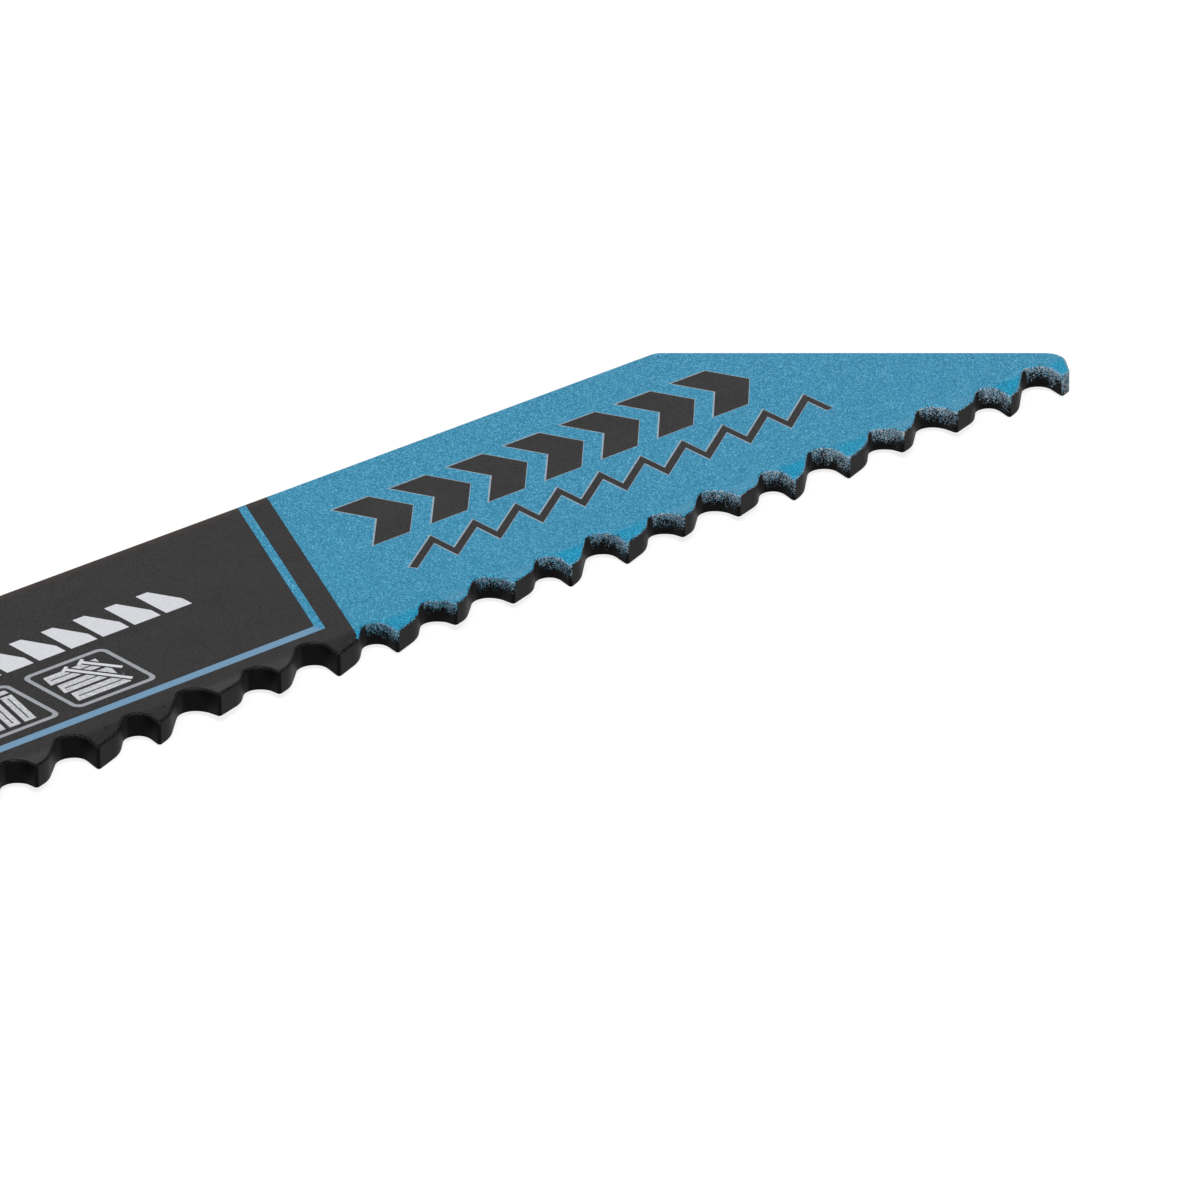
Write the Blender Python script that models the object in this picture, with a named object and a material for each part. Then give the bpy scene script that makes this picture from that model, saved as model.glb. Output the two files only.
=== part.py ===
"""Reciprocating saw blade, modelled as the one flat piece of steel that it is.

The blade lies on its side: +X runs along it towards the nose, +Y towards its straight back edge,
and +Z up through its thickness. The world origin is under the middle of the blade's box.
"""

import math
from collections import namedtuple

import bmesh
import bpy
from mathutils import Vector

MM = 0.001

# Plate
LENGTH = 228.6 * MM  # end of the tang to the nose
WIDTH = 19.05 * MM  # back edge to the tooth tips
THICKNESS = 1.5 * MM
EDGE_BREAK = 0.12 * MM  # chamfer on every edge that isn't a cutting edge
FILLET_SHARE = 0.98  # the most of a side that the rounding of its corner may take

# Teeth, which cut on the pull stroke, so each faces the tang
PITCH = 4.5 * MM
RAKE_ANGLE = math.radians(1.5)
RELIEF_ANGLE = math.radians(17.0)
RELIEF_BLEND = 2.5 * MM  # radius where a tooth's back steepens towards the gullet

# Gullets, deep and shallow by turns, counted back from the nose
DEEP_GULLET_DEPTH = 2.1 * MM  # from the line of the tips
DEEP_GULLET_RADIUS = 1.05 * MM
DEEP_SLOPE_RUN = 1.3 * MM  # along the blade, from where a tooth's back steepens to the gullet
SHALLOW_GULLET_DEPTH = 1.75 * MM
SHALLOW_GULLET_RADIUS = 0.9 * MM
SHALLOW_SLOPE_RUN = 0.6 * MM
GULLET_PATTERN = "DSDSDSDSDSDSS"  # D for deep and S for shallow, and then repeated
GULLET_STEPS = 12
BLEND_STEPS = 4

# Set: the sideways bend of the tips, counted back from the nose and then repeated
SMALL_SET = 0.15 * MM
LARGE_SET = 0.22 * MM
SET_CYCLE = (-SMALL_SET, -LARGE_SET, SMALL_SET, LARGE_SET)
BEND_BELOW_GULLET = 0.3 * MM  # from the bottom of a shallow gullet down to the bend line

# Nose
SLANT_ANGLE = math.radians(41.5)  # of the sloping tip, measured from the back edge
NOSE_REACH = 1.72 * MM  # from the last tooth's tip to the very end
NOSE_LAND = 0.88 * MM  # of the last tooth, before the end face
NOSE_FACE_ANGLE = math.radians(57.0)
NOSE_RADIUS = 1.3 * MM
NOSE_LAND_RADIUS = 0.3 * MM
BACK_CORNER_RADIUS = 1.2 * MM
NOSE_STEPS = 10

# Heel, the plain stretch between the tang and the first gullet
HEEL_LENGTH = 7.0 * MM  # the least that is left plain
HEEL_RISE = 0.5 * MM  # above the line of the tooth tips

# Tang
TANG_LENGTH = 20.0 * MM
TANG_WIDTH = 12.7 * MM
TANG_DROP = 2.2 * MM  # from the back edge to the tang's upper edge
TANG_CHAMFER = 2.6 * MM
TANG_CORNER_RADIUS = 0.6 * MM
HOLE_DIAMETER = 4.2 * MM
HOLE_FROM_END = 8.4 * MM
HOLE_STEPS = 40
SHOULDER_ANGLE = math.radians(45.0)
SHOULDER_FILLET = 2.0 * MM  # inside corner, next to the tang
SHOULDER_ROUND = 1.5 * MM  # outside corner, next to the plate
CORNER_STEPS = 6

# Print on the upper side: a blue field that runs out over the nose, a blue line that bends up
# into a leaning stripe, rows of plain marks, and two boxes with boards in them. Starts are
# measured back from the last tooth's tip, and drops from the back edge.
Row = namedtuple("Row", "start drop height pitch count")
PRINT_LEAN = math.tan(math.radians(23.9))  # along the blade for each length across it
FIELD_START = 48.28 * MM
STRIPE_START = 50.56 * MM
STRIPE_WIDTH = 0.61 * MM
LINE_DROP = 15.5 * MM
LINE_WIDTH = 0.7 * MM
LINE_LENGTH = 139.0 * MM
BOLD_ROW = Row(start=47.8 * MM, drop=4.12 * MM, height=5.38 * MM, pitch=4.55 * MM, count=7)
BOLD_ARM = 2.85 * MM
BOLD_POINT = 1.9 * MM
BOLD_LEAN = 1.26 * MM
SAW_ROW = Row(start=47.98 * MM, drop=11.18 * MM, height=2.2 * MM, pitch=3.36 * MM, count=10)
SAW_STROKE = 0.5 * MM
WHITE_ROW = Row(start=81.88 * MM, drop=5.5 * MM, height=2.9 * MM, pitch=2.38 * MM, count=9)
WHITE_LENGTH = 1.95 * MM
WHITE_HEAD = 0.9 * MM  # length of a mark's top, and height of its upright side
BOX_ROW = Row(start=81.8 * MM, drop=9.44 * MM, height=5.3 * MM, pitch=7.2 * MM, count=2)
BOX_LENGTH = 6.1 * MM
BOX_LINE = 0.3 * MM
BOX_CORNER = 0.55 * MM
BOX_CORNER_STEPS = 4
BOX_MARGIN = 0.65 * MM  # from the outside of a box to the boards in it
STANDING_COUNT = 4
STANDING_BOARD = 0.82 * MM
STANDING_PITCH = 1.12 * MM
STANDING_LEAN = 0.75 * MM
STANDING_HEIGHT = 3.3 * MM
RAIL_HEIGHT = 0.43 * MM
LYING_COUNT = 3
LYING_BOARD = 1.05 * MM
LYING_PITCH = 1.3 * MM
LYING_LENGTH = 3.9 * MM
LYING_LEAN = 0.25 * MM
NAIL_START = Vector((2.62, 4.47)) * MM  # middle of the first nail's head, from the box's corner
NAIL_LENGTHS = (4.1 * MM, 2.7 * MM)
NAIL_HEADING = math.radians(-56.0)
NAIL_PITCH = 1.3 * MM
NAIL_STROKE = 0.3 * MM
NAIL_GAP = 0.16 * MM  # bare on each side of a nail
NAIL_HEAD = 0.76 * MM

# Looks
COAT_COLOR = (0.048, 0.044, 0.043, 1.0)
BLUE_COLOR = (0.055, 0.305, 0.497, 1.0)
WHITE_COLOR = (0.68, 0.7, 0.74, 1.0)
COAT_ROUGHNESS = 0.5
PRINT_ROUGHNESS = 0.55
COAT_METALLIC = 0.35
COAT, BLUE, WHITE = range(3)

# Mesh
WELD_DISTANCE = 0.001 * MM
CUT_TOLERANCE = 0.0001 * MM
FLAT_ANGLE = math.radians(0.2)  # the most between two faces that count as one, or are level
RIM_ANGLE = math.radians(60.0)  # the least between a flat side and the wall beside it
SHARP_ANGLE = math.radians(30.0)

TANG_END_X = -LENGTH / 2
NOSE_END_X = LENGTH / 2
BACK_Y = WIDTH / 2
TIP_Y = -WIDTH / 2
NOSE_TIP_X = NOSE_END_X - NOSE_REACH
PLATE_BOTTOM_Z = max(0.0, -min(SET_CYCLE))
BEND_HEIGHT = SHALLOW_GULLET_DEPTH - BEND_BELOW_GULLET
BEND_Y = TIP_Y + BEND_HEIGHT
GULLET_TOP_Y = TIP_Y + max(DEEP_GULLET_DEPTH, SHALLOW_GULLET_DEPTH)
SHOULDER_START_X = TANG_END_X + TANG_LENGTH
TANG_TOP_Y = BACK_Y - TANG_DROP
TANG_BOTTOM_Y = TANG_TOP_Y - TANG_WIDTH
HEEL_Y = TIP_Y + HEEL_RISE
HEEL_START_X = SHOULDER_START_X + (TANG_BOTTOM_Y - HEEL_Y) / math.tan(SHOULDER_ANGLE)


def clear_scene():
    for old in list(bpy.data.objects):
        bpy.data.objects.remove(old, do_unlink=True)


def make_collection(name):
    collection = bpy.data.collections.new(name)
    bpy.context.scene.collection.children.link(collection)
    return collection


def heading(angle):
    """Unit vector at an angle from +X."""
    return Vector((math.cos(angle), math.sin(angle)))


def crossing(point_a, direction_a, point_b, direction_b):
    """Where two lines in the plane of the blade meet."""
    across = direction_a.x * direction_b.y - direction_a.y * direction_b.x
    gap = point_b - point_a
    along = (gap.x * direction_b.y - gap.y * direction_b.x) / across
    return point_a + along * direction_a


def tangent_heading(point, centre, radius):
    """Heading of the line from a point that passes a circle on its left side."""
    towards = centre - point
    return math.atan2(towards.y, towards.x) + math.asin(radius / towards.length)


def rounded(corner, before, after, radius, steps):
    """Arc that rounds one corner between its two neighbours, as a list of points."""
    to_before = (before - corner).normalized()
    to_after = (after - corner).normalized()
    half_angle = to_before.angle(to_after) / 2
    shorter_side = min((before - corner).length, (after - corner).length)
    setback = min(radius / math.tan(half_angle), FILLET_SHARE * shorter_side)
    fitted_radius = setback * math.tan(half_angle)
    centre = corner + (to_before + to_after).normalized() * (fitted_radius / math.sin(half_angle))
    start = corner + to_before * setback - centre
    end = corner + to_after * setback - centre
    sweep = math.atan2(start.x * end.y - start.y * end.x, start.dot(end))
    first_angle = math.atan2(start.y, start.x)
    return [
        centre + fitted_radius * heading(first_angle + sweep * step / steps)
        for step in range(steps + 1)
    ]


def gullet_size(steps_from_nose):
    """Depth, root radius and slope run of one gullet."""
    if GULLET_PATTERN[steps_from_nose % len(GULLET_PATTERN)] == "D":
        return DEEP_GULLET_DEPTH, DEEP_GULLET_RADIUS, DEEP_SLOPE_RUN
    return SHALLOW_GULLET_DEPTH, SHALLOW_GULLET_RADIUS, SHALLOW_SLOPE_RUN


def gullet_centre(tip_x, depth, radius):
    """Centre of the gullet's root, which touches the rake face of the tooth at tip_x."""
    rake_height = (depth - radius - radius * math.sin(RAKE_ANGLE)) / math.cos(RAKE_ANGLE)
    return Vector((
        tip_x + rake_height * math.sin(RAKE_ANGLE) - radius * math.cos(RAKE_ANGLE),
        TIP_Y + depth - radius,
    ))


def tooth_positions():
    """X of every tooth tip, from the heel to the nose."""
    room = NOSE_TIP_X - (HEEL_START_X + HEEL_LENGTH + PITCH)
    count = int(room / PITCH) + 1
    return [NOSE_TIP_X - PITCH * (count - 1 - index) for index in range(count)]


def toothed_edge(tips):
    """Corners from the heel to the last tip, each with its radius and arc steps."""
    rake = heading(math.pi / 2 - RAKE_ANGLE)
    corners = []
    for index, tip_x in enumerate(tips):
        depth, radius, slope_run = gullet_size(len(tips) - 1 - index)
        centre = gullet_centre(tip_x, depth, radius)
        foot_x = centre.x - radius - slope_run
        if index == 0:
            foot = Vector((foot_x, HEEL_Y))
        else:
            foot = Vector((foot_x, TIP_Y + (foot_x - tips[index - 1]) * math.tan(RELIEF_ANGLE)))
        slope = heading(tangent_heading(foot, centre, radius))
        tip = Vector((tip_x, TIP_Y))
        corners.append((foot, RELIEF_BLEND, BLEND_STEPS))
        corners.append((crossing(foot, slope, tip, rake), radius, GULLET_STEPS))
        corners.append((tip, 0.0, 0))
    return corners


def nose_corners():
    """Corners of the sloping nose, from the last tooth's land round to the back edge."""
    land_end = Vector((NOSE_TIP_X, TIP_Y)) + NOSE_LAND * heading(RELIEF_ANGLE)
    face = heading(NOSE_FACE_ANGLE)
    face_normal = Vector((face.y, -face.x))
    centre_x = NOSE_END_X - NOSE_RADIUS
    centre_rise = (NOSE_RADIUS + (centre_x - land_end.x) * face_normal.x) / -face_normal.y
    centre = Vector((centre_x, land_end.y + centre_rise))
    slant = heading(math.pi - SLANT_ANGLE)
    slant_point = centre + NOSE_RADIUS * heading(math.pi / 2 - SLANT_ANGLE)
    end_corner = crossing(land_end, face, slant_point, slant)
    back_corner = crossing(slant_point, slant, Vector((0.0, BACK_Y)), Vector((1.0, 0.0)))
    return [
        (land_end, NOSE_LAND_RADIUS, BLEND_STEPS),
        (end_corner, NOSE_RADIUS, NOSE_STEPS),
        (back_corner, BACK_CORNER_RADIUS, CORNER_STEPS),
    ]


def tang_corners():
    """Corners of the back shoulder, the tang and the heel shoulder, in that order."""
    back_run = TANG_DROP / math.tan(SHOULDER_ANGLE)
    chamfer_x = TANG_END_X + TANG_CHAMFER
    return [
        (Vector((SHOULDER_START_X + back_run, BACK_Y)), SHOULDER_ROUND, CORNER_STEPS),
        (Vector((SHOULDER_START_X, TANG_TOP_Y)), SHOULDER_FILLET, CORNER_STEPS),
        (Vector((chamfer_x, TANG_TOP_Y)), TANG_CORNER_RADIUS, CORNER_STEPS),
        (Vector((TANG_END_X, TANG_TOP_Y - TANG_CHAMFER)), TANG_CORNER_RADIUS, CORNER_STEPS),
        (Vector((TANG_END_X, TANG_BOTTOM_Y + TANG_CHAMFER)), TANG_CORNER_RADIUS, CORNER_STEPS),
        (Vector((chamfer_x, TANG_BOTTOM_Y)), TANG_CORNER_RADIUS, CORNER_STEPS),
        (Vector((SHOULDER_START_X, TANG_BOTTOM_Y)), SHOULDER_FILLET, CORNER_STEPS),
        (Vector((HEEL_START_X, HEEL_Y)), SHOULDER_ROUND, CORNER_STEPS),
    ]


def blade_outline(tips):
    corners = toothed_edge(tips) + nose_corners() + tang_corners()
    points = []
    for index, (corner, radius, steps) in enumerate(corners):
        if radius == 0.0:
            points.append(corner)
            continue
        before = corners[index - 1][0]
        after = corners[(index + 1) % len(corners)][0]
        points.extend(rounded(corner, before, after, radius, steps))
    return points


def hole_outline():
    centre = Vector((TANG_END_X + HOLE_FROM_END, TANG_TOP_Y - TANG_WIDTH / 2))
    return [
        centre + HOLE_DIAMETER / 2 * heading(2 * math.pi * step / HOLE_STEPS)
        for step in range(HOLE_STEPS)
    ]


def flat_curve(name, outlines):
    """A filled flat curve, extruded to the blade's thickness, with later outlines as holes."""
    curve = bpy.data.curves.new(name, "CURVE")
    curve.dimensions = "2D"
    curve.fill_mode = "BOTH"
    curve.extrude = THICKNESS / 2
    for outline in outlines:
        spline = curve.splines.new("POLY")
        spline.points.add(len(outline) - 1)
        for point, place in zip(spline.points, outline):
            point.co = (place.x, place.y, 0.0, 1.0)
        spline.use_cyclic_u = True
    return bpy.data.objects.new(name, curve)


def mesh_from_curve(name, curve_object, collection):
    """The curve as a mesh whose caps are welded to its walls."""
    collection.objects.link(curve_object)
    bpy.context.view_layer.update()
    evaluated = curve_object.evaluated_get(bpy.context.evaluated_depsgraph_get())
    mesh = bpy.data.meshes.new_from_object(evaluated)
    mesh.name = name
    bpy.data.objects.remove(curve_object, do_unlink=True)
    shape = bmesh.new()
    shape.from_mesh(mesh)
    bmesh.ops.remove_doubles(shape, verts=shape.verts, dist=WELD_DISTANCE)
    bmesh.ops.dissolve_limit(
        shape, angle_limit=FLAT_ANGLE, verts=shape.verts, edges=shape.edges
    )
    bmesh.ops.recalc_face_normals(shape, faces=shape.faces)
    shape.to_mesh(mesh)
    shape.free()
    plate = bpy.data.objects.new(name, mesh)
    collection.objects.link(plate)
    return plate


def parallelogram(left, width, bottom, top, lean=0.0):
    """Four-sided mark whose upper end lies further along the blade by its lean."""
    return [
        Vector((left, bottom)),
        Vector((left + width, bottom)),
        Vector((left + width + lean, top)),
        Vector((left + lean, top)),
    ]


def arrow(left, bottom, height, arm, point, lean):
    """The lower and the upper half of an arrow mark that points to the nose."""
    middle = bottom + height / 2
    lower = parallelogram(left, arm, bottom, middle, lean / 2 + point)
    upper = parallelogram(
        left + lean / 2 + point, arm, middle, bottom + height, lean / 2 - point
    )
    return [lower, upper]


def stroke(points, width):
    """Line of one width through points, in four-sided pieces that meet at pointed corners."""
    headings = [(after - before).normalized() for before, after in zip(points, points[1:])]
    sides = []
    for index in range(len(points)):
        arriving = headings[max(index - 1, 0)].orthogonal()
        leaving = headings[min(index, len(headings) - 1)].orthogonal()
        sides.append((arriving + leaving) * width / 2 / (1 + arriving.dot(leaving)))
    return [
        [start - before, end - after, end + after, start + before]
        for start, end, before, after in zip(points, points[1:], sides, sides[1:])
    ]


def rounded_box(left, length, bottom, height, radius):
    corners = parallelogram(left, length, bottom, bottom + height)
    points = []
    for index, corner in enumerate(corners):
        following = corners[(index + 1) % len(corners)]
        points.extend(rounded(corner, corners[index - 1], following, radius, BOX_CORNER_STEPS))
    return points


def row_places(row):
    """Lower left corner of each mark in a row."""
    bottom = BACK_Y - row.drop - row.height
    return [
        Vector((NOSE_TIP_X - row.start + row.pitch * index, bottom))
        for index in range(row.count)
    ]


def field_marks():
    """The blue field, and the blue line with its stripe."""
    above = BACK_Y + THICKNESS
    below = TIP_Y - THICKNESS
    past_nose = NOSE_END_X + THICKNESS
    line_bottom = BACK_Y - LINE_DROP - LINE_WIDTH
    field = [
        Vector((NOSE_TIP_X - FIELD_START - (BACK_Y - below) * PRINT_LEAN, below)),
        Vector((past_nose, below)),
        Vector((past_nose, above)),
        Vector((NOSE_TIP_X - FIELD_START + (above - BACK_Y) * PRINT_LEAN, above)),
    ]
    foot_x = NOSE_TIP_X - STRIPE_START - (BACK_Y - line_bottom) * PRINT_LEAN
    stripe_lean = (above - line_bottom) * PRINT_LEAN
    stripe = parallelogram(foot_x, STRIPE_WIDTH, line_bottom, above, stripe_lean)
    line = parallelogram(
        foot_x - LINE_LENGTH, LINE_LENGTH + STRIPE_WIDTH / 2, line_bottom, line_bottom + LINE_WIDTH
    )
    return [(BLUE, field), (BLUE, stripe), (BLUE, line)]


def bare_marks():
    """What is left bare in the blue field: a row of arrows, and a line of saw teeth below it."""
    marks = []
    for place in row_places(BOLD_ROW):
        marks += arrow(*place, BOLD_ROW.height, BOLD_ARM, BOLD_POINT, BOLD_LEAN)
    starts = row_places(SAW_ROW)
    saw_line = [starts[0]]
    for place in starts:
        foot = place + Vector((SAW_ROW.pitch, 0.0))
        saw_line += [foot + Vector((0.0, SAW_ROW.height)), foot]
    marks += stroke(saw_line, SAW_STROKE)
    return [(COAT, mark) for mark in marks]


def white_marks():
    """Row of solid white marks, each with the corner towards the nose cut off, like a tooth."""
    shape = [
        Vector((0.0, 0.0)),
        Vector((WHITE_LENGTH, 0.0)),
        Vector((WHITE_LENGTH, WHITE_HEAD)),
        Vector((WHITE_HEAD, WHITE_ROW.height)),
        Vector((0.0, WHITE_ROW.height)),
    ]
    return [(WHITE, [place + corner for corner in shape]) for place in row_places(WHITE_ROW)]


def box_marks(place):
    """Outline of a box with round corners."""
    outer = rounded_box(place.x, BOX_LENGTH, place.y, BOX_ROW.height, BOX_CORNER)
    inner = rounded_box(
        place.x + BOX_LINE,
        BOX_LENGTH - 2 * BOX_LINE,
        place.y + BOX_LINE,
        BOX_ROW.height - 2 * BOX_LINE,
        BOX_CORNER - BOX_LINE,
    )
    return [(WHITE, outer), (COAT, inner)]


def standing_boards(place):
    """Boards side by side, under a rail."""
    left = place.x + BOX_MARGIN
    bottom = place.y + BOX_MARGIN
    top = bottom + STANDING_HEIGHT
    rail_top = place.y + BOX_ROW.height - BOX_MARGIN
    boards = [
        parallelogram(left + STANDING_PITCH * index, STANDING_BOARD, bottom, top, STANDING_LEAN)
        for index in range(STANDING_COUNT)
    ]
    rail_length = BOX_LENGTH - 2 * BOX_MARGIN
    rail = parallelogram(left, rail_length, rail_top - RAIL_HEIGHT, rail_top)
    return [(WHITE, mark) for mark in boards + [rail]]


def nailed_boards(place):
    """Boards along the blade with two nails driven into them."""
    left = place.x + BOX_MARGIN
    marks = []
    for index in range(LYING_COUNT):
        bottom = place.y + BOX_MARGIN + LYING_PITCH * index
        board = parallelogram(left, LYING_LENGTH, bottom, bottom + LYING_BOARD, LYING_LEAN)
        marks.append((WHITE, board))
    for index, length in enumerate(NAIL_LENGTHS):
        head = place + NAIL_START + Vector((NAIL_PITCH * index, 0.0))
        point = head + length * heading(NAIL_HEADING)
        side = NAIL_HEAD / 2 * heading(NAIL_HEADING + math.pi / 2)
        marks += [(COAT, piece) for piece in stroke([head, point], NAIL_STROKE + 2 * NAIL_GAP)]
        marks += [(WHITE, piece) for piece in stroke([head, point], NAIL_STROKE)]
        marks += [(WHITE, piece) for piece in stroke([head - side, head + side], NAIL_STROKE)]
    return marks


def printed_marks():
    """Every printed shape with its paint, each convex and counter-clockwise. Later ones cover."""
    first_box, second_box = row_places(BOX_ROW)
    marks = field_marks() + bare_marks() + white_marks()
    marks += box_marks(first_box) + standing_boards(first_box)
    marks += box_marks(second_box) + nailed_boards(second_box)
    return marks


def is_over(face, polygon):
    """Whether a face of the upper side and a polygon overlap, judged by their boxes."""
    if face.normal.z < math.cos(FLAT_ANGLE):
        return False
    for axis in (0, 1):
        face_reach = [vert.co[axis] for vert in face.verts]
        polygon_reach = [corner[axis] for corner in polygon]
        if min(face_reach) >= max(polygon_reach) or max(face_reach) <= min(polygon_reach):
            return False
    return True


def cut_out(shape, polygon):
    """Cut the upper side along a convex polygon, and give the faces inside it."""
    inside = [face for face in shape.faces if is_over(face, polygon)]
    for corner, following in zip(polygon, polygon[1:] + polygon[:1]):
        outward = Vector((following.y - corner.y, corner.x - following.x, 0.0)).normalized()
        parts = set(inside)
        for face in inside:
            parts.update(face.edges)
            parts.update(face.verts)
        cut = bmesh.ops.bisect_plane(
            shape, geom=list(parts), dist=CUT_TOLERANCE, plane_co=corner.to_3d(), plane_no=outward
        )
        inside = [
            part for part in cut["geom"]
            if isinstance(part, bmesh.types.BMFace)
            and (part.calc_center_median() - corner.to_3d()).dot(outward) < 0.0
        ]
    return inside


def print_marks(shape):
    """Give each printed shape its paint, and merge the other cuts away again."""
    for paint, polygon in printed_marks():
        for face in cut_out(shape, polygon):
            face.material_index = paint
    bmesh.ops.dissolve_limit(
        shape,
        angle_limit=FLAT_ANGLE,
        verts=shape.verts,
        edges=shape.edges,
        delimit={"MATERIAL"},
    )


def is_rim(edge):
    """Whether an edge runs between one of the two flat sides and the wall around them."""
    heights = [vert.co.z for vert in edge.verts]
    is_level = math.isclose(heights[0], heights[1], abs_tol=0.001 * THICKNESS)
    is_outermost = math.isclose(abs(heights[0]), THICKNESS / 2, rel_tol=0.001)
    return is_level and is_outermost and edge.calc_face_angle(0.0) > RIM_ANGLE


def is_cutting_edge(edge, tips):
    """Whether a rim edge lies along the teeth, from the first gullet to the last tooth's land."""
    middle = (edge.verts[0].co + edge.verts[1].co) / 2
    return tips[0] - PITCH < middle.x < NOSE_TIP_X + NOSE_LAND and middle.y < GULLET_TOP_Y


def break_edges(shape, tips):
    """Chamfer the rims of the back, nose, heel, tang and hole, and leave the teeth sharp."""
    rims = [edge for edge in shape.edges if is_rim(edge) and not is_cutting_edge(edge, tips)]
    bmesh.ops.bevel(
        shape, geom=rims, offset=EDGE_BREAK, offset_type="OFFSET", segments=1, affect="EDGES"
    )


def bend_teeth(shape, tips):
    """Bend each tooth sideways about the bend line, by its place in the set cycle."""
    bmesh.ops.bisect_plane(
        shape,
        geom=shape.verts[:] + shape.edges[:] + shape.faces[:],
        dist=CUT_TOLERANCE,
        plane_co=(0.0, BEND_Y, 0.0),
        plane_no=(0.0, 1.0, 0.0),
    )
    first_x = tips[0] - SHALLOW_GULLET_RADIUS / 2
    for vert in shape.verts:
        if vert.co.y >= BEND_Y or vert.co.x < first_x:
            continue
        index = min(int((vert.co.x - first_x) / PITCH), len(tips) - 1)
        steps_from_nose = len(tips) - 1 - index
        bend = SET_CYCLE[steps_from_nose % len(SET_CYCLE)]
        vert.co.z += bend * (BEND_Y - vert.co.y) / BEND_HEIGHT


def make_material(name, color, roughness, metallic):
    material = bpy.data.materials.new(name)
    material.use_nodes = True
    shader = material.node_tree.nodes["Principled BSDF"]
    shader.inputs["Base Color"].default_value = color
    shader.inputs["Roughness"].default_value = roughness
    shader.inputs["Metallic"].default_value = metallic
    return material


def make_blade(collection):
    tips = tooth_positions()
    curve_object = flat_curve("blade_outline", [blade_outline(tips), hole_outline()])
    blade = mesh_from_curve("blade", curve_object, collection)
    shape = bmesh.new()
    shape.from_mesh(blade.data)
    print_marks(shape)
    break_edges(shape, tips)
    bend_teeth(shape, tips)
    bmesh.ops.recalc_face_normals(shape, faces=shape.faces)
    shape.to_mesh(blade.data)
    shape.free()
    blade.data.materials.append(
        make_material("dark_coat", COAT_COLOR, COAT_ROUGHNESS, COAT_METALLIC)
    )
    blade.data.materials.append(make_material("blue_paint", BLUE_COLOR, PRINT_ROUGHNESS, 0.0))
    blade.data.materials.append(make_material("white_print", WHITE_COLOR, PRINT_ROUGHNESS, 0.0))
    blade.data.shade_smooth()
    blade.data.set_sharp_from_angle(angle=SHARP_ANGLE)
    blade.location = (0.0, 0.0, PLATE_BOTTOM_Z + THICKNESS / 2)
    return blade


def main():
    clear_scene()
    collection = make_collection("reciprocating_saw_blade")
    make_blade(collection)


main()
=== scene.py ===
"""Reciprocating saw blade with its coat, paint and print, lying on a plain white floor."""

import math
from collections import namedtuple

import bpy
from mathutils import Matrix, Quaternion, Vector
from mathutils.geometry import delaunay_2d_cdt


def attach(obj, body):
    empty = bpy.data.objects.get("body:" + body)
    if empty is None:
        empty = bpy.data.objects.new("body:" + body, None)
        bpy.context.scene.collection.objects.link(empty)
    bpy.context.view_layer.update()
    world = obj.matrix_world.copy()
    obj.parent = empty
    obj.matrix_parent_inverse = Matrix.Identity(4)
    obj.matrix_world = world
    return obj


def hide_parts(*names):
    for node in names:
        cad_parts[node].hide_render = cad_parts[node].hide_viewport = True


Gullet = namedtuple("Gullet", "depth radius slope_run")
Row = namedtuple("Row", "left bottom height count pitch")
Shape = namedtuple("Shape", "paint corners left right bottom top")
Side = namedtuple("Side", "z up depth")
Lamp = namedtuple("Lamp", "name place size power")

MM = 0.001

# Camera, in millimetres and degrees
TARGET = Vector((70.028, -14.506, 1.72))
DISTANCE = 578.493
AZIMUTH = math.radians(41.229)
ELEVATION = math.radians(26.161)
ROLL = math.radians(0.11)
FOCAL_LENGTH = 293.75
SENSOR = 36.0
CLIP_START = 50.0
CLIP_END = 20000.0

# Floor and light, in metres and watts
FLOOR_REACH = 3.0
FLOOR_GREY = 0.22  # share of the light that the floor sends back
FLOOR_GLOW = 0.83  # added where the floor is looked at, so that it is seen as plain white
WORLD_LIGHT = 0.22
LIGHT_AIM = (0.07, 0.0, 0.0)
LAMPS = (
    Lamp("top_light", place=(-0.15, -0.22, 1.15), size=(1.0, 0.8), power=13.6),
    Lamp("far_card", place=(0.85, 0.95, 0.32), size=(1.6, 0.3), power=1.1),
)

# Plate, in millimetres, as in the part
LENGTH = 228.6
WIDTH = 19.05
THICKNESS = 1.5

# Rims, which are rounded here where the part has small chamfers
RIM_RADIUS = 0.13
TOOTH_RIM_RADIUS = 0.16
LOWER_RIM_RADIUS = 0.06
RIM_STEPS = 4
RIM_CLEARANCE = 0.2  # more than any rim's radius

# Teeth
PITCH = 4.5
RAKE_ANGLE = math.radians(1.5)
RELIEF_ANGLE = math.radians(17.0)
RELIEF_BLEND = 2.5
TIP_RADIUS = 0.17
TIP_STEPS = 4
DEEP_GULLET = Gullet(depth=2.1, radius=1.05, slope_run=1.3)
SHALLOW_GULLET = Gullet(depth=1.75, radius=0.9, slope_run=0.6)
GULLET_PATTERN = "DSDSDSDSDSDSS"  # deep and shallow, counted from the nose
GULLET_STEPS = 20
BLEND_STEPS = 6
SET_CYCLE = (-0.15, -0.22, 0.15, 0.22)
BEND_BELOW_GULLET = 0.3
BEND_SOFTNESS = 0.28  # half of the height over which a tooth's bend starts

# Nose
SLANT_ANGLE = math.radians(41.5)
NOSE_REACH = 1.72
NOSE_LAND = 0.88
NOSE_FACE_ANGLE = math.radians(57.0)
NOSE_RADIUS = 1.3
NOSE_LAND_RADIUS = 0.3
BACK_CORNER_RADIUS = 1.2
NOSE_STEPS = 16

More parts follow.
